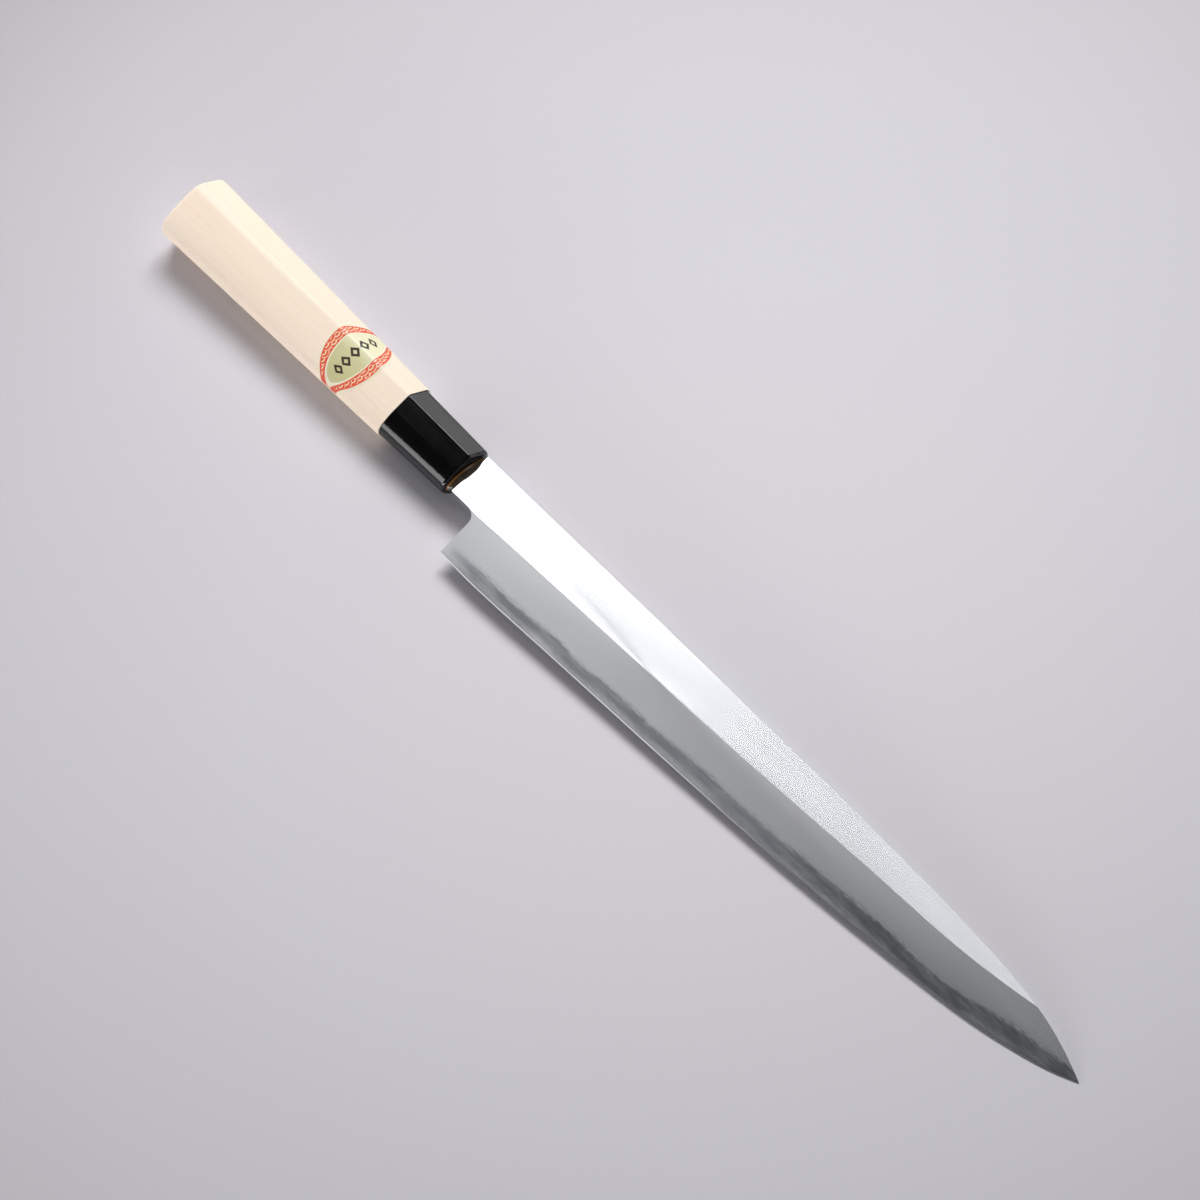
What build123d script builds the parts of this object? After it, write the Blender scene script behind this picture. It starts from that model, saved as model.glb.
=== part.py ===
from build123d import *
import os
from math import atan2, cos, sin

# A yanagiba, the long single-bevel slicing knife for raw fish, with a blade of about 270 mm.
# It lies bevel up, on the underside of its handle and on its tip. X runs along the knife to the
# tip, Y across the blade from the edge to the spine, and Z is up. All sizes are in millimetres.

# Handle and ferrule: heights across the blade's plane, thicknesses square to it
handle_length = 138.5
ferrule_length = 30.5
butt_height = 27.5
butt_thickness = 21.7
collar_height = 21.6
collar_thickness = 17.1
collar_step = 0.4
mouth_height = 20.0
mouth_thickness = 16.2
butt_ridge_radius = 6.0
wood_ridge_radius = 1.2
ferrule_ridge_radius = 0.4
tenon_ridge_radius = 1.0
butt_round = 2.0
rim_round = 1.1

# Ferrule's bore and mouth
tenon_wall = 2.0
front_wall = 6.5
bore_width = 16.8
bore_height = 7.2

# Blade: lengths along the knife, from the ferrule's mouth or the heel
neck_length = 15.4
blade_length = 269.1
blade_height = 33.5
neck_rise = 8.75
neck_drop = 8.3
neck_fillet = 4.2
choil_lean = 0.9
shoulder_gap = 0.9
shoulder_slant = 1.7
spine_thickness = 4.3
tip_thickness = 1.8
back_depth = 2.5

# Bevel: the honed strip along the edge, then the wide flat up to the shinogi line
edge_land = 0.1
honed_width = 0.5
honed_height = 0.3

# Forge-welded hard steel, and the hollow that a large wheel grinds in the back
steel_thickness = 1.4
steel_setback = 2.9
ura_rim = 2.2
ura_wheel_radius = 300.0

# Tang
tang_length = 95.0
tang_width = 10.4
tang_thickness = 3.2
tang_end_width = 5.0
tang_end_thickness = 2.5
tang_fit = 0.05

# Resin seal and paper label
seal_bulge = 2.5
label_back = 54.6
label_length = 21.4
label_width = 26.8
label_round_level = 6.9
label_drop = 1.0
label_thickness = 0.12

# How far a cutting shape runs past what it cuts
overrun = 5.0

# The blade at stations along its length. Each row holds the station as a share of the blade's
# length from the heel, then the edge, the shinogi line and the spine as shares of the blade's
# height above the handle's axis. The first and last rows lie past the heel and the tip.
blade_shares = (
    (-0.040, -0.719, -0.265, 0.261),
    (0.000, -0.734, -0.249, 0.264),
    (0.045, -0.743, -0.231, 0.267),
    (0.140, -0.718, -0.202, 0.279),
    (0.320, -0.657, -0.148, 0.294),
    (0.490, -0.595, -0.085, 0.303),
    (0.670, -0.510, 0.002, 0.297),
    (0.790, -0.424, 0.055, 0.268),
    (0.875, -0.337, 0.145, 0.214),
    (0.930, -0.242, 0.227, 0.140),
    (0.970, -0.148, 0.304, 0.045),
    (1.000, -0.048, 0.376, -0.048),
    (1.020, 0.018, 0.427, -0.110),
)
edge_column, shinogi_column, spine_column = 1, 2, 3
far_share = 0.65

# The weld line, forged by hand and so never straight: stations as shares of the blade's length,
# heights above the back as shares of the hard steel's thickness.
weld_shares = (
    (0.043, 1.01), (0.136, 0.90), (0.180, 0.94), (0.225, 0.79), (0.270, 0.89), (0.359, 0.83),
    (0.404, 0.90), (0.493, 0.80), (0.578, 0.81), (0.623, 0.82), (0.708, 0.78), (0.749, 0.73),
    (0.794, 0.61), (0.835, 0.65), (0.876, 0.74), (0.916, 0.71), (0.957, 0.59), (1.028, 0.46),
)

# How much wider the flat rim of the hollow is at its ends, as shares of the rim, for the rows
# of the blade table that the hollow runs through.
hollow_rows = blade_shares[1:10]
hollow_rim_shares = (3.2, 1.8, 1.1, 1.0, 1.0, 1.0, 1.0, 1.0, 1.1)

# The roof of the handle's section, in shares of its half height and half thickness. Its ridge
# stands toward the spine, and its longer side swells a little.
ridge_share = (0.22, 1.0)
spine_shoulder_share = (0.832, 0.479)
edge_flank_share = (-0.35, 0.75)
edge_shoulder_share = (-0.745, 0.50)

# The bulge of the seal: how far out each ring stands, and how wide and high it is
seal_shares = ((0.0, 1.0, 1.0), (0.45, 0.95, 0.90), (0.80, 0.82, 0.72), (1.0, 0.62, 0.48))

# The lying pose: nose down until the tip touches what the wood's underside rests on
tip_x = neck_length + blade_length
heel_y = blade_shares[1][edge_column] * blade_height
lowest_edge_y = min(row[edge_column] for row in blade_shares) * blade_height
tilt = atan2(collar_thickness / 2 + collar_step - back_depth, ferrule_length + tip_x)
mouth_centre = (
    (handle_length - tip_x) * cos(tilt) / 2,
    -(lowest_edge_y + butt_height / 2) / 2,
    tip_x * sin(tilt) + back_depth * cos(tilt),
)
flat = Plane(mouth_centre, x_dir=(cos(tilt), 0, -sin(tilt)), z_dir=(sin(tilt), 0, cos(tilt)))
side = Plane(mouth_centre, x_dir=flat.x_dir, z_dir=flat.y_dir * -1)

# The blade's two flats: the back, and the bevelled side, which draw together toward the tip
back = flat.offset(-back_depth)
upper_flat = Plane(
    flat.from_local_coords((0, 0, spine_thickness - back_depth)),
    x_dir=flat.from_local_coords((tip_x, 0, tip_thickness - spine_thickness))
    - flat.from_local_coords((0, 0, 0)),
    z_dir=flat.from_local_coords((spine_thickness - tip_thickness, 0, tip_x))
    - flat.from_local_coords((0, 0, 0)),
)


def station(x):
    """Plane square to the knife at x along it, with its own x toward the spine and y up."""
    return Plane(flat.from_local_coords((x, 0, 0)), x_dir=flat.y_dir, z_dir=flat.x_dir)


def along(share):
    """Place along the knife of a share of the blade's length."""
    return neck_length + share * blade_length


def blade_layer(column, shift):
    """A level of the blade, bounded by one column of the blade table and clear of the spine."""
    with BuildSketch() as layer:
        with BuildLine():
            rail = Spline(
                *[(along(row[0]), row[column] * blade_height + shift) for row in blade_shares]
            )
            Polyline(
                rail @ 1, ((rail @ 1).X, far_share * blade_height),
                ((rail @ 0).X, far_share * blade_height), rail @ 0,
            )
        make_face()
    return layer.sketch


def slope(start, end):
    """Direction from one point to another."""
    return (end[0] - start[0], end[1] - start[1])


def d_section(height, thickness, ridge_radius):
    """The handle's D section, a roof with one ridge over a half oval."""
    ridge, spine_shoulder, edge_flank, edge_shoulder = (
        (share[0] * height / 2, share[1] * thickness / 2)
        for share in (ridge_share, spine_shoulder_share, edge_flank_share, edge_shoulder_share)
    )
    with BuildSketch() as section:
        with BuildLine():
            EllipticalCenterArc(
                (0, 0), height / 2, thickness / 2, start_angle=180, arc_size=180
            )
            Spline(
                (height / 2, 0), spine_shoulder, tangents=((0, 1), slope(spine_shoulder, ridge))
            )
            FilletPolyline(spine_shoulder, ridge, edge_flank, radius=ridge_radius)
            Spline(
                edge_flank, edge_shoulder, (-height / 2, 0),
                tangents=(slope(ridge, edge_flank), (0, -1)),
            )
        make_face()
    return section.sketch


def tang_section(x, fit):
    """The tang's section at x along the knife."""
    share = (shoulder_gap - x) / (shoulder_gap + tang_length)
    width = tang_width + (tang_end_width - tang_width) * share
    thickness = tang_thickness + (tang_end_thickness - tang_thickness) * share
    with BuildSketch() as section:
        with Locations((tang_shift, tang_level)):
            Rectangle(width + 2 * fit, thickness + 2 * fit)
    return section.sketch


tang_level = spine_thickness / 2 - back_depth
tang_shift = (neck_rise - neck_drop) / 2
tang_root = shoulder_gap + shoulder_slant + neck_fillet
tenon_section = d_section(
    mouth_height - 2 * tenon_wall, mouth_thickness - 2 * tenon_wall, tenon_ridge_radius
)


# The hollow in the back, ground along the blade on one large wheel
with BuildPart() as hollow:
    for (share, edge, shinogi, spine), rim_share in zip(hollow_rows, hollow_rim_shares):
        rim = ura_rim * rim_share
        low = edge * blade_height + rim
        high = spine * blade_height - rim
        with BuildSketch(station(along(share))):
            with BuildLine():
                RadiusArc((low, -back_depth), (high, -back_depth), ura_wheel_radius)
                Polyline(
                    (high, -back_depth), (high, -back_depth - overrun),
                    (low, -back_depth - overrun), (low, -back_depth),
                )
            make_face()
    loft()

# Room for the neck, from the ferrule to the choil
with BuildSketch() as neck_block:
    neck_end = neck_length - choil_lean - neck_fillet
    with Locations((0, -neck_drop - overrun)):
        Rectangle(neck_end, neck_drop + neck_rise + 2 * overrun, align=Align.MIN)

# The whole blade before its two metals are told apart
with BuildPart() as blade:
    # The land and the honed strip along the edge, then the bevel up to the shinogi line
    with BuildSketch(back):
        add(blade_layer(edge_column, 0))
    extrude(amount=edge_land)
    with BuildSketch(back.offset(edge_land)):
        add(blade_layer(edge_column, 0))
    with BuildSketch(back.offset(honed_height)):
        add(blade_layer(edge_column, honed_width))
    loft(ruled=True)
    with BuildSketch(back.offset(honed_height)):
        add(blade_layer(edge_column, honed_width))
    with BuildSketch(upper_flat):
        add(blade_layer(shinogi_column, 0))
    loft(ruled=True)
    # The neck, between the same two flats
    with BuildSketch(back):
        add(neck_block.sketch)
    with BuildSketch(upper_flat):
        add(neck_block.sketch)
    loft(ruled=True)
    # The outline: spine, shoulder at the ferrule, neck, choil, and clear of the edge
    with BuildSketch(back.offset(-overrun)):
        with BuildLine():
            spine_line = Spline(
                (shoulder_gap, neck_rise),
                *[
                    (along(row[0]), row[spine_column] * blade_height)
                    for row in blade_shares[2:12]
                ],
            )
            corner = Vector(neck_length - choil_lean, -neck_drop)
            heel = Vector(neck_length, heel_y)
            below_heel = heel + (heel - corner).normalized() * overrun
            Line(spine_line @ 0, (shoulder_gap + shoulder_slant, -neck_drop))
            FilletPolyline(
                (shoulder_gap + shoulder_slant, -neck_drop), corner, below_heel,
                radius=neck_fillet,
            )
            Polyline(below_heel, (tip_x + overrun, below_heel.Y), spine_line @ 1)
        make_face()
    extrude(amount=spine_thickness + 2 * overrun, mode=Mode.INTERSECT)
    add(hollow.part, mode=Mode.SUBTRACT)
    # The tang, tapered both ways
    with BuildSketch(station(-tang_length)):
        add(tang_section(-tang_length, 0))
    with BuildSketch(station(tang_root)):
        add(tang_section(tang_root, 0))
    loft()

# What lies under the weld line is hard steel
with BuildPart() as steel_zone:
    with BuildSketch(side.offset(-blade_height)):
        with BuildLine():
            start = (neck_length - steel_setback, steel_thickness - back_depth)
            weld_line = Spline(
                start,
                *[
                    (along(share), height_share * steel_thickness - back_depth)
                    for share, height_share in weld_shares
                ],
            )
            Polyline(
                weld_line @ 1,
                ((weld_line @ 1).X, -back_depth - overrun),
                (start[0], -back_depth - overrun),
                start,
            )
        make_face()
    extrude(amount=2 * blade_height)

with BuildPart() as soft_iron_cladding:
    add(blade.part)
    add(steel_zone.part, mode=Mode.SUBTRACT)

with BuildPart() as hard_steel_edge:
    add(blade.part)
    add(steel_zone.part, mode=Mode.INTERSECT)

# The wooden handle, with its tenon for the ferrule and its burnt-in slot for the tang
with BuildPart() as wood_body:
    with BuildSketch(station(-handle_length)):
        add(d_section(butt_height, butt_thickness, butt_ridge_radius))
    with BuildSketch(station(-ferrule_length)):
        add(d_section(
            collar_height + 2 * collar_step, collar_thickness + 2 * collar_step,
            wood_ridge_radius,
        ))
    loft()
    fillet(wood_body.faces().sort_by(Axis.X)[0].edges(), radius=butt_round)

with BuildPart() as handle:
    add(wood_body.part)
    with BuildSketch(station(-ferrule_length)):
        add(tenon_section)
    extrude(amount=ferrule_length - front_wall)
    with BuildSketch(station(-tang_length - tang_fit)):
        add(tang_section(-tang_length, tang_fit))
    with BuildSketch(station(-front_wall)):
        add(tang_section(-front_wall, tang_fit))
    loft(mode=Mode.SUBTRACT)

# The ferrule, bored from behind for the tenon and pierced by the oval mouth
with BuildPart() as ferrule:
    with BuildSketch(station(-ferrule_length)):
        add(d_section(collar_height, collar_thickness, 0))
    with BuildSketch(station(0)):
        add(d_section(mouth_height, mouth_thickness, 0))
    loft()
    fillet(ferrule.edges().sort_by(Axis.Z)[-1], radius=ferrule_ridge_radius)
    fillet(ferrule.faces().sort_by(Axis.X)[-1].edges(), radius=rim_round)
    with BuildSketch(station(-ferrule_length)):
        add(tenon_section)
    extrude(amount=ferrule_length - front_wall, mode=Mode.SUBTRACT)
    with BuildSketch(station(-front_wall)):
        with Locations((0, tang_level)):
            Ellipse(bore_width / 2, bore_height / 2)
    extrude(amount=front_wall, mode=Mode.SUBTRACT)

# The resin round the tang, filling the mouth and bulging over the neck
with BuildPart() as mouth_seal:
    with BuildSketch(station(-front_wall)):
        with Locations((0, tang_level)):
            Ellipse(bore_width / 2, bore_height / 2)
    extrude(amount=front_wall)
    for out_share, wide_share, high_share in seal_shares:
        with BuildSketch(station(out_share * seal_bulge)):
            with Locations((0, tang_level)):
                Ellipse(wide_share * bore_width / 2, high_share * bore_height / 2)
    loft()
    add(blade.part, mode=Mode.SUBTRACT)

# The paper label, wrapped over the ridge and a little below the handle's widest line
with BuildPart() as paper_label:
    with BuildSketch(station(-handle_length)):
        add(d_section(
            butt_height + 2 * label_thickness, butt_thickness + 2 * label_thickness,
            butt_ridge_radius,
        ))
    with BuildSketch(station(-ferrule_length)):
        add(d_section(
            collar_height + 2 * collar_step + 2 * label_thickness,
            collar_thickness + 2 * collar_step + 2 * label_thickness,
            wood_ridge_radius,
        ))
    loft()
    with BuildSketch(flat.offset(-label_drop)):
        with Locations((-label_back, 0)):
            Ellipse(label_length / 2, label_width / 2)
    extrude(amount=butt_thickness, mode=Mode.INTERSECT)
    # Round at its two ends down the sides
    with BuildSketch(side.offset(-butt_height)):
        with Locations((-label_back, label_round_level)):
            Ellipse(label_length / 2, label_round_level + label_drop)
            Rectangle(label_length, butt_thickness, align=(Align.CENTER, Align.MIN))
    extrude(amount=2 * butt_height, mode=Mode.INTERSECT)
    add(wood_body.part, mode=Mode.SUBTRACT)

os.makedirs("parts", exist_ok=True)
pieces = {
    "soft_iron_cladding": soft_iron_cladding,
    "hard_steel_edge": hard_steel_edge,
    "handle": handle,
    "ferrule": ferrule,
    "mouth_seal": mouth_seal,
    "paper_label": paper_label,
}
for name, piece in pieces.items():
    piece.part.label = name
    export_step(piece.part, f"parts/{name}.step")
    size = piece.part.bounding_box().size
    print(name, len(piece.part.solids()), round(piece.part.volume), size)
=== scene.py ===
import bpy
import math
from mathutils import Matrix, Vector

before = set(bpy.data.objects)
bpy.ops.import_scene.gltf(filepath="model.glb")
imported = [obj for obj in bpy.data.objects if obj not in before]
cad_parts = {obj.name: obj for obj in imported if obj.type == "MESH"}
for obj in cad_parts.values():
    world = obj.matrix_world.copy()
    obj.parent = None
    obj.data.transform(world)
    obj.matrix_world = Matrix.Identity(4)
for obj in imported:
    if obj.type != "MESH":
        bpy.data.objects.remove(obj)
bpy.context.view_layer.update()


# The soft iron front of the blade, forged in one with the neck and the hidden tang.
# It is ground flat and brushed lengthwise on the flat, and stoned dull on the wide bevel.

# The knife's own frame: its zero is the middle of the ferrule's mouth, x runs to the tip,
# y to the spine and z up from the flat side. It leans a little as the knife lies.
knife_zero = (-0.072985, 0.005570, 0.008324)
knife_lean = 0.0204733
neck_length = 15.4
blade_length = 269.1
back_depth = 2.5
steel_thickness = 1.4
bevel_run = 4.2

# The weld line as in the solids: shares of the blade's length and of the steel's thickness
weld_line = (
    (0.043, 1.01), (0.136, 0.90), (0.180, 0.94), (0.225, 0.79), (0.270, 0.89), (0.359, 0.83),
    (0.404, 0.90), (0.493, 0.80), (0.578, 0.81), (0.623, 0.82), (0.708, 0.78), (0.749, 0.73),
    (0.794, 0.61), (0.835, 0.65), (0.876, 0.74), (0.916, 0.71), (0.957, 0.59), (1.028, 0.46),
)
weld_span = 1.05
stoned_grey = "#C0C1C4"


def linear(code):
    """Linear colour of an sRGB hex value."""
    shares = [int(code[i:i + 2], 16) / 255 for i in (1, 3, 5)]
    return [s / 12.92 if s <= 0.04045 else ((s + 0.055) / 1.055) ** 2.4 for s in shares] + [1.0]


def add(tree, kind, settings=(), inputs=(), stops=()):
    """A node with its settings, links and stops of (place, hex colour); gives back its
    first output in use."""
    node = tree.nodes.new("ShaderNode" + kind)
    for name, value in dict(settings).items():
        setattr(node, name, value)
    for key, value in dict(inputs).items():
        if isinstance(value, bpy.types.NodeSocket):
            tree.links.new(value, node.inputs[key])
        else:
            node.inputs[key].default_value = value
    if stops:
        band = node.color_ramp.elements
        band[0].position, band[1].position = stops[0][0], stops[-1][0]
        for place, code in stops[1:-1]:
            band.new(place)
        for element, (place, code) in zip(band, stops):
            element.position, element.color = place, linear(code)
    return next((out for out in node.outputs if out.enabled), node)


def facing(tree, output="Normal"):
    """The X, Y and Z of the way that the surface faces."""
    way = add(tree, "TexCoord").node.outputs[output]
    return add(tree, "SeparateXYZ", {}, {"Vector": way}).node.outputs


def new_material(name):
    """An empty material and its node tree."""
    material = bpy.data.materials.new(name)
    material.use_nodes = True
    material.node_tree.nodes.clear()
    return material, material.node_tree


def knife_place(tree):
    """Millimetres in the knife's own frame, and the three of them apart."""
    spot = add(tree, "TexCoord").node.outputs["Object"]
    place = add(tree, "Mapping", {"vector_type": "TEXTURE"}, {
        "Vector": spot, "Location": knife_zero, "Rotation": (0, knife_lean, 0),
        "Scale": (0.001, 0.001, 0.001)})
    apart = add(tree, "SeparateXYZ", {}, {"Vector": place}).node
    return place, apart.outputs["X"], apart.outputs["Y"], apart.outputs["Z"]


def streaks(tree, place, lengthwise, across, detail):
    """Noise drawn out along the knife; sizes in millimetres of one streak."""
    stretched = add(tree, "Mapping", {}, {
        "Vector": place, "Scale": (1 / lengthwise, 1 / across, 1 / across)})
    return add(tree, "TexNoise", {}, {"Vector": stretched, "Scale": 1.0, "Detail": detail})


def bevel_tone(tree, place, x, z):
    """How bright the bevel is, white on the iron, and millimetres above the flat back."""
    along = add(tree, "Math", {"operation": "SUBTRACT"}, {0: x, 1: neck_length})
    share = add(tree, "Math", {"operation": "DIVIDE"}, {0: along, 1: blade_length * weld_span})
    line = add(tree, "FloatCurve", {}, {"Value": share})
    curve = line.node.mapping.curves[0]
    curve.points[0].location = (0, weld_line[0][1])
    curve.points[1].location = (1, weld_line[-1][1])
    for station, height in weld_line:
        curve.points.new(station / weld_span, height)
    line.node.mapping.update()
    weld = add(tree, "Math", {"operation": "MULTIPLY"}, {0: line, 1: steel_thickness})
    height = add(tree, "Math", {"operation": "ADD"}, {0: z, 1: back_depth})
    over = add(tree, "Math", {"operation": "SUBTRACT"}, {0: height, 1: weld})
    run = add(tree, "Math", {"operation": "MULTIPLY"}, {0: over, 1: bevel_run})
    haze = add(tree, "Math", {"operation": "MULTIPLY_ADD"}, {
        0: streaks(tree, place, 3.0, 0.7, 3), 1: 1.8, 2: -0.8})
    above = add(tree, "Math", {"operation": "ADD"}, {0: run, 1: haze})
    # Below the line the stones leave the steel dark, more so toward the tip; at the heel the
    # stain reaches nearer to the edge
    reach = add(tree, "MapRange", {}, {
        "Value": share, "From Min": 0.06, "From Max": 0.16, "To Min": -7.5, "To Max": -5.0})
    depth = add(tree, "MapRange", {}, {"Value": above, "From Min": 1.0, "From Max": reach})
    under = add(tree, "ValToRGB", {}, {"Fac": depth}, (
        (0.0, "#000000"), (0.12, "#909090"), (0.24, "#FFFFFF"), (0.50, "#FFFFFF"),
        (0.65, "#DCDCDC"), (0.78, "#AAAAAA"), (0.9, "#888888")))
    # The stain comes and goes along the blade, and the stones leave fine lines in it
    smoke = add(tree, "MapRange", {}, {
        "Value": streaks(tree, place, 11.0, 2.0, 3), "From Min": 0.35, "From Max": 0.7,
        "To Min": 1.06, "To Max": 0.72})
    scratches = add(tree, "MapRange", {}, {
        "Value": streaks(tree, place, 20.0, 0.25, 2), "From Min": 0.3, "From Max": 0.7,
        "To Min": 1.07, "To Max": 0.9})
    under = add(tree, "SeparateColor", {}, {"Color": under})
    under = add(tree, "Math", {"operation": "MULTIPLY"}, {0: under, 1: smoke})
    under = add(tree, "Math", {"operation": "MULTIPLY", "use_clamp": True}, {
        0: under, 1: scratches})
    darkest = add(tree, "ValToRGB", {}, {"Fac": share}, (
        (0.0, "#FFFFFF"), (0.012, "#D8D9DA"), (0.05, "#A2A4A7"), (0.09, "#A0A2A5"),
        (0.36, "#B0B2B5"), (0.50, "#B2B4B8"), (0.66, "#8E9195"), (0.95, "#96999E")))
    tone = add(tree, "Mix", {"data_type": "RGBA"}, {
        "Factor": under, 6: (1, 1, 1, 1), 7: darkest}).node.outputs[2]
    return tone, height


# Soft iron: a dull silver grey with faint lines along the blade from the grinding belt.
# The real lines are some 0.05 mm apart; they are drawn ten times coarser to show.
iron, tree = new_material("brushed_soft_iron")
place, x, _, z = knife_place(tree)
lines = streaks(tree, place, 40.0, 0.5, 1)
clouds = streaks(tree, place, 30.0, 8.0, 2)
tone, _ = bevel_tone(tree, place, x, z)
on_bevel = add(tree, "MapRange", {}, {
    "Value": facing(tree)["Y"], "From Min": -0.08, "From Max": -0.16})
flat_colour = add(tree, "ValToRGB", {}, {"Fac": lines}, ((0.3, "#D2D4D8"), (0.7, "#DADCE0")))
bevel_colour = add(tree, "Mix", {"data_type": "RGBA", "blend_type": "MULTIPLY"}, {
    "Factor": 1.0, 6: linear(stoned_grey), 7: tone}).node.outputs[2]
colour = add(tree, "Mix", {"data_type": "RGBA"}, {
    "Factor": on_bevel, 6: flat_colour, 7: bevel_colour}).node.outputs[2]
dullness = add(tree, "MapRange", {}, {
    "Value": on_bevel, "To Min": 0.22, "To Max": 0.34})
roughness = add(tree, "Math", {"operation": "MULTIPLY_ADD"}, {0: clouds, 1: 0.02, 2: dullness})
# The relief of the lines stays on the flat; the stones have taken it off the bevel
relief = add(tree, "MapRange", {}, {"Value": on_bevel, "To Min": 0.06, "To Max": 0.0})
brushing = add(tree, "Bump", {}, {"Strength": relief, "Distance": 0.00002, "Height": lines})
surface = add(tree, "BsdfPrincipled", {}, {
    "Base Color": colour, "Metallic": 1.0, "Roughness": roughness, "Anisotropic": 0.3,
    "Normal": brushing})
add(tree, "OutputMaterial", {}, {"Surface": surface})
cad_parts["soft_iron_cladding"].material_slots[0].material = iron


# The hard steel back, forge-welded under the iron. It carries the edge, shows below the weld
# line on the bevel, and is hollow-ground and polished on the flat side.

# The honed strip ends this many millimetres above the flat back
honed_height = 0.24

# High-carbon steel: darker and bluer than the iron where the stones have dulled it, with a
# bright honed strip along the very edge and a mirror-like back.
steel, tree = new_material("polished_carbon_steel")
place, x, _, z = knife_place(tree)
lines = streaks(tree, place, 25.0, 0.3, 4)
tone, height = bevel_tone(tree, place, x, z)
dull_colour = add(tree, "Mix", {"data_type": "RGBA", "blend_type": "MULTIPLY"}, {
    "Factor": 1.0, 6: linear(stoned_grey), 7: tone}).node.outputs[2]
honed = add(tree, "MapRange", {}, {
    "Value": height, "From Min": honed_height + 0.02, "From Max": honed_height - 0.02})
on_back = add(tree, "MapRange", {}, {
    "Value": facing(tree)["Z"], "From Min": -0.5, "From Max": -0.9})
bright = add(tree, "Math", {"operation": "MAXIMUM"}, {0: honed, 1: on_back})
dull = add(tree, "MapRange", {}, {"Value": honed, "To Min": 0.33, "To Max": 0.62})
back_colour = add(tree, "ValToRGB", {}, {"Fac": lines}, ((0.3, "#D0D2D5"), (0.7, "#DDDFE2")))
# Toward the tip the honed strip is painted grey: painted shade where its reflection of the lamps
# fades
tipward_painted_shade = add(tree, "MapRange", {}, {"Value": x, "From Min": 110.0, "From Max": 180.0})
honed_colour_painted_shade = add(tree, "ValToRGB", {}, {"Fac": tipward_painted_shade}, ((0.0, "#FAFBFC"), (1.0, "#84878B")))
bright_colour = add(tree, "Mix", {"data_type": "RGBA"}, {
    "Factor": on_back, 6: honed_colour_painted_shade, 7: back_colour}).node.outputs[2]
colour = add(tree, "Mix", {"data_type": "RGBA"}, {
    "Factor": bright, 6: dull_colour, 7: bright_colour}).node.outputs[2]
roughness = add(tree, "Mix", {}, {"Factor": on_back, "A": dull, "B": 0.16})
brushing = add(tree, "Bump", {}, {"Strength": 0.1, "Distance": 0.00002, "Height": lines})
surface = add(tree, "BsdfPrincipled", {}, {
    "Base Color": colour, "Metallic": 1.0, "Roughness": roughness, "Normal": brushing})
add(tree, "OutputMaterial", {}, {"Surface": surface})
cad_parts["hard_steel_edge"].material_slots[0].material = steel


# The magnolia handle, D-shaped with one ridge, planed and sanded smooth and left unvarnished.
# Its tenon carries the ferrule, and the hot tang is driven into its slot.

# Where the log's heart was, in the knife's own frame, and how wide its year rings are
log_heart = (0.0, 9.0, 38.0)
ring_width = 0.8

# Magnolia wood: pale cream, with a close straight grain along the handle and short fine
# pores. The pores are drawn about three times as wide as they are.
wood, tree = new_material("sanded_magnolia_wood")
place, _, y, z = knife_place(tree)
grain = streaks(tree, place, 60.0, 1.1, 4)
pores = streaks(tree, place, 4.0, 0.22, 2)
stain = streaks(tree, place, 50.0, 12.0, 2)
grain_colour = add(tree, "ValToRGB", {}, {"Fac": grain}, (
    (0.3, "#FDE9D1"), (0.55, "#FFEDD9"), (0.75, "#FAE3C9")))
pore_share = add(tree, "MapRange", {}, {
    "Value": pores, "From Min": 0.66, "From Max": 0.8, "To Min": 0.0, "To Max": 0.35})
pored = add(tree, "Mix", {"data_type": "RGBA"}, {
    "Factor": pore_share, 6: grain_colour, 7: linear("#D9B98F")}).node.outputs[2]
stain_share = add(tree, "MapRange", {}, {
    "Value": stain, "From Min": 0.45, "From Max": 0.75, "To Min": 0.0, "To Max": 0.2})
sawn = add(tree, "Mix", {"data_type": "RGBA"}, {
    "Factor": stain_share, 6: pored, 7: linear("#F4DAC0")}).node.outputs[2]
# On the butt the rings show end on, as arcs round the log's heart, and the wood is darker
cut = add(tree, "CombineXYZ", {}, {"Y": y, "Z": z})
heart = add(tree, "VectorMath", {"operation": "DISTANCE"}, {
    0: cut, 1: log_heart}).node.outputs["Value"]
wander = add(tree, "TexNoise", {}, {"Vector": place, "Scale": 0.15, "Detail": 2.0})
uneven = add(tree, "Math", {"operation": "MULTIPLY_ADD"}, {0: wander, 1: 2.0, 2: heart})
rings = add(tree, "Math", {"operation": "PINGPONG"}, {0: uneven, 1: ring_width})
end_colour = add(tree, "ValToRGB", {}, {"Fac": rings}, (
    (0.0, "#DDBE98"), (0.16, "#EFD9BC"), (0.8, "#F3E0C6")))
on_end = add(tree, "MapRange", {}, {
    "Value": facing(tree)["X"], "From Min": -0.75, "From Max": -0.95})
colour = add(tree, "Mix", {"data_type": "RGBA"}, {
    "Factor": on_end, 6: sawn, 7: end_colour}).node.outputs[2]
relief = add(tree, "Math", {"operation": "ADD"}, {0: grain, 1: pore_share})
fibres = add(tree, "Bump", {"invert": True}, {
    "Strength": 0.25, "Distance": 0.00003, "Height": relief})
surface = add(tree, "BsdfPrincipled", {}, {
    "Base Color": colour, "Roughness": 0.5, "IOR": 1.5, "Normal": fibres})
add(tree, "OutputMaterial", {}, {"Surface": surface})
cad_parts["handle"].material_slots[0].material = wood


# The black ferrule, turned to the handle's section, pushed over the tenon and polished.
# It keeps the wood from splitting where the tang enters.

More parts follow.
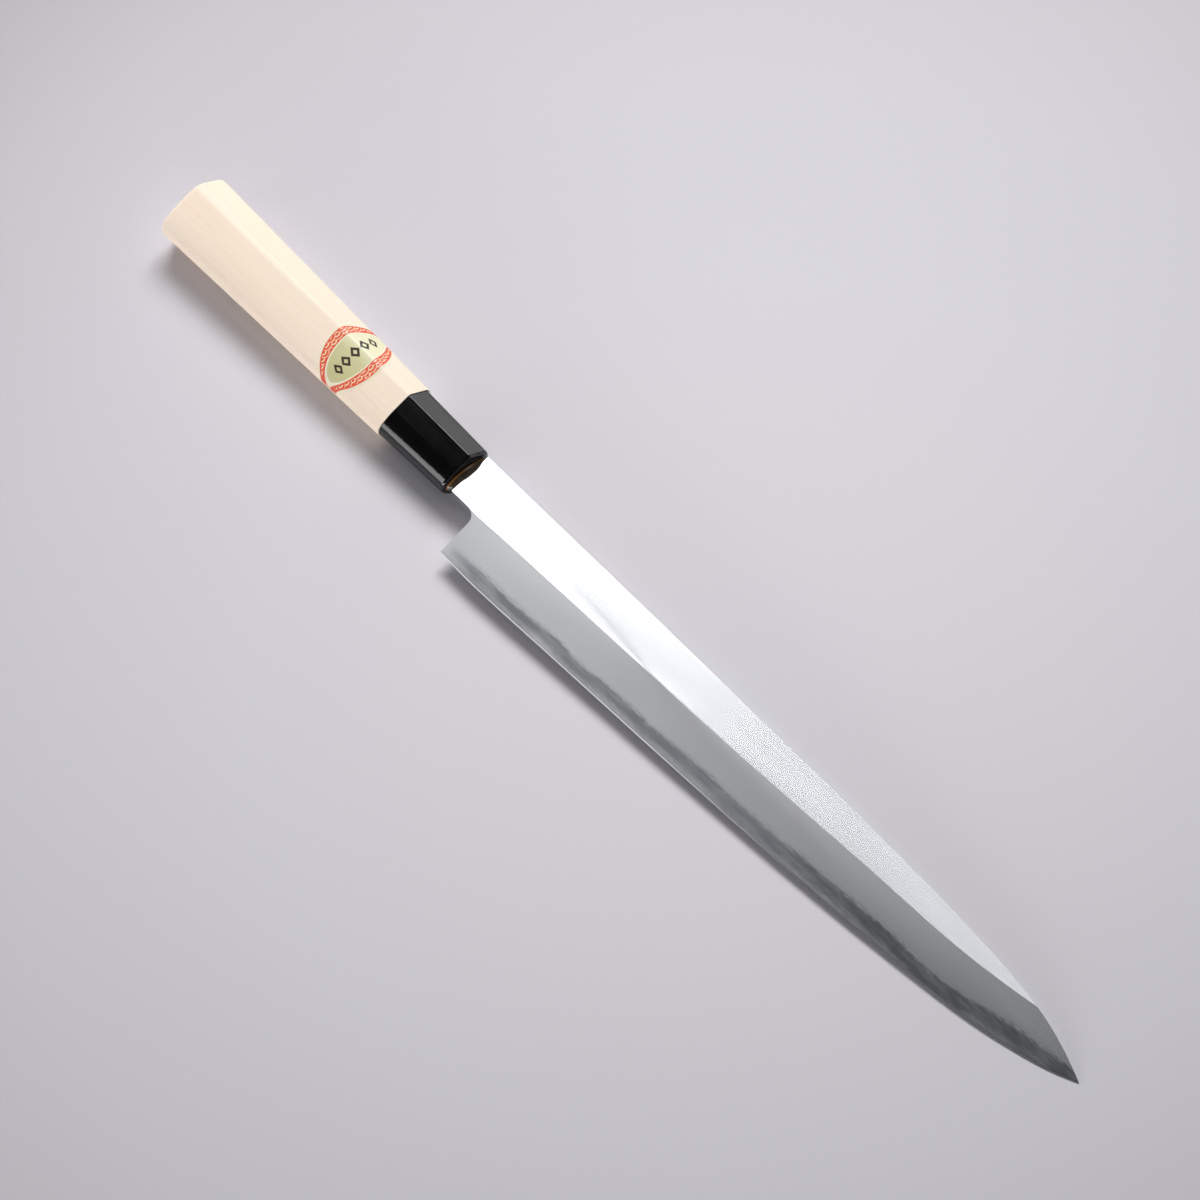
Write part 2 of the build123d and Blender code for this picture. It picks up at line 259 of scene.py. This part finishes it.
# Black resin, buffed: deep black with sharp reflections and hardly visible buffing haze.
resin, tree = new_material("buffed_black_resin")
place = knife_place(tree)[0]
swirls = streaks(tree, place, 9.0, 2.0, 3)
colour = add(tree, "ValToRGB", {}, {"Fac": swirls}, ((0.3, "#040405"), (0.7, "#080808")))
roughness = add(tree, "MapRange", {}, {"Value": swirls, "To Min": 0.07, "To Max": 0.15})
surface = add(tree, "BsdfPrincipled", {}, {
    "Base Color": colour, "Roughness": roughness, "IOR": 1.55})
add(tree, "OutputMaterial", {}, {"Surface": surface})
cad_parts["ferrule"].material_slots[0].material = resin


# The seal: resin poured hot round the tang, filling the oval mouth of the ferrule and left
# bulging over the neck to keep water out.

# Dark brown pine resin: glossy and uneven as it set. At the rim it is painted amber, a painted
# highlight along the ferrule's mouth.
pitch, tree = new_material("poured_pine_resin")
place, x = knife_place(tree)[:2]
lumps = add(tree, "TexNoise", {}, {"Vector": place, "Scale": 0.35, "Detail": 3.0})
set_colour = add(tree, "ValToRGB", {}, {"Fac": lumps}, (
    (0.3, "#2A2018"), (0.5, "#453A30"), (0.7, "#4F4538")))
# Painted highlight: an amber band along the ferrule's mouth
painted_rim_highlight = add(tree, "MapRange", {}, {"Value": x, "From Min": 0.65, "From Max": 0.25})
colour = add(tree, "Mix", {"data_type": "RGBA"}, {
    "Factor": painted_rim_highlight, 6: set_colour, 7: linear("#A5753C")}).node.outputs[2]
dents = add(tree, "Bump", {}, {"Strength": 0.5, "Distance": 0.0003, "Height": lumps})
surface = add(tree, "BsdfPrincipled", {}, {
    "Base Color": colour, "Roughness": 0.22, "IOR": 1.54, "Normal": dents,
    "Coat Weight": 0.4, "Coat Roughness": 0.08})
add(tree, "OutputMaterial", {}, {"Surface": surface})
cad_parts["mouth_seal"].material_slots[0].material = pitch


# The paper label, glued over the ridge near the ferrule. It has a plain traditional print:
# a ring of overlapping waves, and inside it a pale gold field with a row of diamonds.

# Millimetres, but for the gold field's shares of the label's half length and half width
label_back = 54.6
label_length = 21.4
label_width = 26.8
label_round_level = 6.9
label_drop = 1.0
label_side = 5.0
wave_radius = 2.4
field_length_share = 0.6
field_width_share = 0.86
diamond_spacing = 4.0
diamond_row_end = 10.0

# Coated paper printed in vermilion, pale gold and dark brown, with a soft sheen.
paper, tree = new_material("printed_coated_paper")
place, x, y, z = knife_place(tree)
along = add(tree, "Math", {"operation": "ADD"}, {0: x, 1: label_back})
u = add(tree, "Math", {"operation": "DIVIDE"}, {0: along, 1: label_length / 2})
v = add(tree, "Math", {"operation": "DIVIDE"}, {0: y, 1: label_width / 2})
off_ridge = add(tree, "Math", {"operation": "ABSOLUTE"}, {0: v})
down = add(tree, "MapRange", {}, {
    "Value": z, "From Min": label_round_level, "From Max": -label_drop})
off_ridge = add(tree, "Math", {"operation": "MAXIMUM"}, {0: off_ridge, 1: down})
u_square = add(tree, "Math", {"operation": "MULTIPLY"}, {0: u, 1: u})
out_square = add(tree, "Math", {"operation": "MULTIPLY_ADD"}, {
    0: off_ridge, 1: off_ridge, 2: u_square})
out_share = add(tree, "Math", {"operation": "SQRT"}, {0: out_square})

# Millimetres round the handle from its middle; on the steep sides the height counts as well
beyond = add(tree, "Math", {"operation": "MULTIPLY"}, {0: down, 1: label_side})
side = add(tree, "Math", {"operation": "SIGN"}, {0: y})
round_y = add(tree, "Math", {"operation": "MULTIPLY_ADD"}, {0: side, 1: beyond, 2: y})

# Rows of circles, each half a radius past the last; the nearer row hides the farther one
row_place = add(tree, "Math", {"operation": "DIVIDE"}, {0: along, 1: wave_radius / 2})
row_number = add(tree, "Math", {"operation": "FLOOR"}, {0: row_place})
nearest = None
for row in (1, 0, -1):
    number = add(tree, "Math", {"operation": "ADD"}, {0: row_number, 1: row})
    past = add(tree, "Math", {"operation": "SUBTRACT"}, {0: row_place, 1: number})
    past = add(tree, "Math", {"operation": "MULTIPLY"}, {0: past, 1: 0.5})
    shift = add(tree, "Math", {"operation": "MULTIPLY"}, {0: number, 1: wave_radius})
    aside = add(tree, "Math", {"operation": "ADD"}, {0: round_y, 1: shift})
    aside = add(tree, "Math", {"operation": "PINGPONG"}, {0: aside, 1: wave_radius})
    aside = add(tree, "Math", {"operation": "DIVIDE"}, {0: aside, 1: wave_radius})
    aside_square = add(tree, "Math", {"operation": "MULTIPLY"}, {0: aside, 1: aside})
    reach = add(tree, "Math", {"operation": "MULTIPLY_ADD"}, {0: past, 1: past, 2: aside_square})
    reach = add(tree, "Math", {"operation": "SQRT"}, {0: reach})
    if nearest is None:
        nearest = reach
    else:
        covers = add(tree, "Math", {"operation": "LESS_THAN"}, {0: reach, 1: 1.0})
        nearest = add(tree, "Mix", {}, {"Factor": covers, "A": nearest, "B": reach})
rings = add(tree, "Math", {"operation": "MULTIPLY"}, {0: nearest, 1: 2.0})
rings = add(tree, "Math", {"operation": "FRACT"}, {0: rings})
wave_colour = add(tree, "ValToRGB", {}, {"Fac": rings}, (
    (0.0, "#F6E2BE"), (0.12, "#F6E2BE"), (0.24, "#EC5638"), (0.76, "#EE6043"),
    (0.88, "#F6E2BE")))

# The gold field, its diamonds and the thin lines round it
off_row = add(tree, "Math", {"operation": "ABSOLUTE"}, {0: u})
wide = add(tree, "Math", {"operation": "DIVIDE"}, {0: u, 1: field_length_share})
tall = add(tree, "Math", {"operation": "DIVIDE"}, {0: off_ridge, 1: field_width_share})
wide_square = add(tree, "Math", {"operation": "MULTIPLY"}, {0: wide, 1: wide})
field_square = add(tree, "Math", {"operation": "MULTIPLY_ADD"}, {0: tall, 1: tall, 2: wide_square})
field_share = add(tree, "Math", {"operation": "SQRT"}, {0: field_square})
beside = add(tree, "Math", {"operation": "PINGPONG"}, {0: round_y, 1: diamond_spacing / 2})
beside = add(tree, "Math", {"operation": "DIVIDE"}, {0: beside, 1: diamond_spacing / 2})
across = add(tree, "Math", {"operation": "MULTIPLY"}, {0: off_row, 1: 4.0})
diamond = add(tree, "Math", {"operation": "ADD"}, {0: beside, 1: across})
# The gold is painted darker and greener toward the edge side and paler toward the spine: a painted
# sheen
painted_sheen_across = add(tree, "MapRange", {}, {"Value": v, "From Min": -1.0, "From Max": 1.0})
gold = add(tree, "ValToRGB", {}, {"Fac": painted_sheen_across}, (
    (0.1, "#CDC795"), (0.45, "#D6D09F"), (0.62, "#F1EECB"), (0.95, "#EDE7C0")))
inked = add(tree, "ValToRGB", {}, {"Fac": diamond}, (
    (0.34, "#000000"), (0.42, "#FFFFFF"), (0.84, "#FFFFFF"), (0.94, "#000000")))
off_middle = add(tree, "Math", {"operation": "ABSOLUTE"}, {0: round_y})
inside = add(tree, "MapRange", {}, {
    "Value": off_middle, "From Min": diamond_row_end + 0.1, "From Max": diamond_row_end - 0.1})
inked = add(tree, "SeparateColor", {}, {"Color": inked})
ink = add(tree, "Math", {"operation": "MULTIPLY"}, {0: inked, 1: inside})
field_colour = add(tree, "Mix", {"data_type": "RGBA"}, {
    "Factor": ink, 6: gold, 7: linear("#3A2E1E")}).node.outputs[2]
past_field = add(tree, "MapRange", {}, {
    "Value": field_share, "From Min": 0.9, "From Max": 1.15})
line_colour = add(tree, "ValToRGB", {}, {"Fac": past_field}, (
    (0.0, "#F6EED2"), (0.5, "#F6EED2"), (0.6, "#E5573A")))
on_line = add(tree, "MapRange", {}, {"Value": field_share, "From Min": 1.11, "From Max": 1.09})
print_colour = add(tree, "Mix", {"data_type": "RGBA"}, {
    "Factor": on_line, 6: wave_colour, 7: line_colour}).node.outputs[2]
on_field = add(tree, "MapRange", {}, {"Value": field_share, "From Min": 0.98, "From Max": 0.96})
print_colour = add(tree, "Mix", {"data_type": "RGBA"}, {
    "Factor": on_field, 6: print_colour, 7: field_colour}).node.outputs[2]
rim_colour = add(tree, "ValToRGB", {}, {"Fac": out_share}, (
    (0.88, "#E5492A"), (0.945, "#EA5B40"), (0.96, "#F6EED2")))
on_rim = add(tree, "MapRange", {}, {"Value": out_share, "From Min": 0.91, "From Max": 0.92})
colour = add(tree, "Mix", {"data_type": "RGBA"}, {
    "Factor": on_rim, 6: print_colour, 7: rim_colour}).node.outputs[2]
fibre = add(tree, "TexNoise", {}, {"Vector": place, "Scale": 4.0, "Detail": 4.0})
nap = add(tree, "Bump", {}, {"Strength": 0.15, "Distance": 0.00003, "Height": fibre})
surface = add(tree, "BsdfPrincipled", {}, {
    "Base Color": colour, "Roughness": 0.38, "IOR": 1.5, "Normal": nap})
add(tree, "OutputMaterial", {}, {"Surface": surface})
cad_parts["paper_label"].material_slots[0].material = paper


# The studio: a wide pale sheet of card that the knife lies on, seen at the photograph's angle.
# A large soft panel behind and above lights it; a wide low one in front, two small reflectors
# overhead and a narrow strip low on the left fill in.
floor_mesh = bpy.data.meshes.new("floor")
floor_half = 3.0
floor_drop = 0.00005
# Centre of the pool of light painted on the card, in metres
painted_light_centre = (0.045, 0.022, 0.0)
floor_mesh.from_pydata(
    [(-floor_half, -floor_half, 0), (floor_half, -floor_half, 0),
     (floor_half, floor_half, 0), (-floor_half, floor_half, 0)], [], [(0, 1, 2, 3)])
floor = bpy.data.objects.new("floor", floor_mesh)
bpy.context.collection.objects.link(floor)
floor.location.z = -floor_drop

# Matt card, pale grey with a trace of lilac, its tooth too fine to see but for a slight grain.
# Round one spot it is painted lightest and farther off it is painted darker: a painted pool of
# light and its fall-off.
card, tree = new_material("matt_pale_card")
spot = add(tree, "TexCoord").node.outputs["Object"]
tooth = add(tree, "TexNoise", {}, {"Vector": spot, "Scale": 900.0, "Detail": 3.0})
painted_light_falloff = add(tree, "VectorMath", {"operation": "DISTANCE"}, {
    0: spot, 1: painted_light_centre}).node.outputs["Value"]
tone = add(tree, "Math", {"operation": "MULTIPLY_ADD"}, {0: tooth, 1: 0.02, 2: painted_light_falloff})
colour = add(tree, "ValToRGB", {}, {"Fac": tone}, (
    (0.01, "#E4E1E8"), (0.09, "#E2DFE4"), (0.17, "#DCDAE0"), (0.25, "#D4D1D8"),
    (0.33, "#C8C5CA"), (0.43, "#ACA5A6")))
surface = add(tree, "BsdfPrincipled", {}, {
    "Base Color": colour, "Roughness": 0.85, "Specular IOR Level": 0.2})
add(tree, "OutputMaterial", {}, {"Surface": surface})
floor_mesh.materials.append(card)

# The camera: angles and distance worked out from the knife's outline in the photograph
look_at = Vector((-0.012442, 0.009406, 0.0))
azimuth, elevation, distance = math.radians(48.013), math.radians(59.986), 1.6413
away = Vector((-math.sin(azimuth), math.cos(azimuth), 0))
right = Vector((math.cos(azimuth), math.sin(azimuth), 0))
up = Vector((0, 0, 1))
camera = bpy.data.objects.new("camera", bpy.data.cameras.new("camera"))
bpy.context.collection.objects.link(camera)
camera.data.lens = 153.54
camera.data.sensor_width = 36.0
camera.data.clip_end = 20.0
camera.location = look_at + distance * (up * math.sin(elevation) - away * math.cos(elevation))
camera.rotation_euler = (look_at - camera.location).to_track_quat("-Z", "Y").to_euler()
bpy.context.scene.camera = camera

# Each lamp: where it stands and what it faces, in metres to the right, away and up from the
# knife, then its width, height and brightness
for name, spot, target, width, height, brightness in (
        ("soft_key", (0.06, 1.04, 1.08), (0, 0, 0), 1.1, 0.55, 11.8),
        ("low_fill", (-0.65, -1.09, 0.15), (0, 0, 0.01), 1.6, 0.26, 7.4),
        ("left_reflector", (-0.52, 0.40, 1.38), (0, 0, 0), 0.46, 0.4, 2.0),
        ("right_reflector", (0.50, 0.42, 1.38), (0, 0, 0), 0.6, 0.5, 0.75),
        ("left_strip", (-0.92, -0.25, 0.40), (-0.05, 0.05, 0), 0.14, 0.50, 4.2)):
    lamp = bpy.data.lights.new(name, "AREA")
    lamp.shape = "RECTANGLE"
    lamp.size, lamp.size_y = width, height
    lamp.energy = brightness * math.pi * width * height
    stand = bpy.data.objects.new(name, lamp)
    bpy.context.collection.objects.link(stand)
    stand.location, faced = (right * a + away * b + up * c for a, b, c in (spot, target))
    stand.rotation_euler = (stand.location - faced).to_track_quat("Z", "Y").to_euler()

# The room: white low down and dark overhead, and plain pale grey where the camera sees it
world = bpy.data.worlds.new("studio")
bpy.context.scene.world = world
world.use_nodes = True
tree = world.node_tree
tree.nodes.clear()
walls = add(tree, "ValToRGB", {}, {"Fac": facing(tree, "Generated")["Z"]}, (
    (0.0, "#FFFFFF"), (0.04, "#F0F0F2"), (0.1, "#98989C"), (0.2, "#46464A"), (0.6, "#28282A")))
camera_ray = add(tree, "LightPath").node.outputs["Is Camera Ray"]
seen = add(tree, "Mix", {"data_type": "RGBA"}, {
    "Factor": camera_ray, 6: walls, 7: linear("#ABABB0")}).node.outputs[2]
light = add(tree, "Background", {}, {"Color": seen, "Strength": 1.5})
add(tree, "OutputWorld", {}, {"Surface": light})

bpy.context.scene.view_settings.view_transform = "Standard"

bpy.context.view_layer.update()
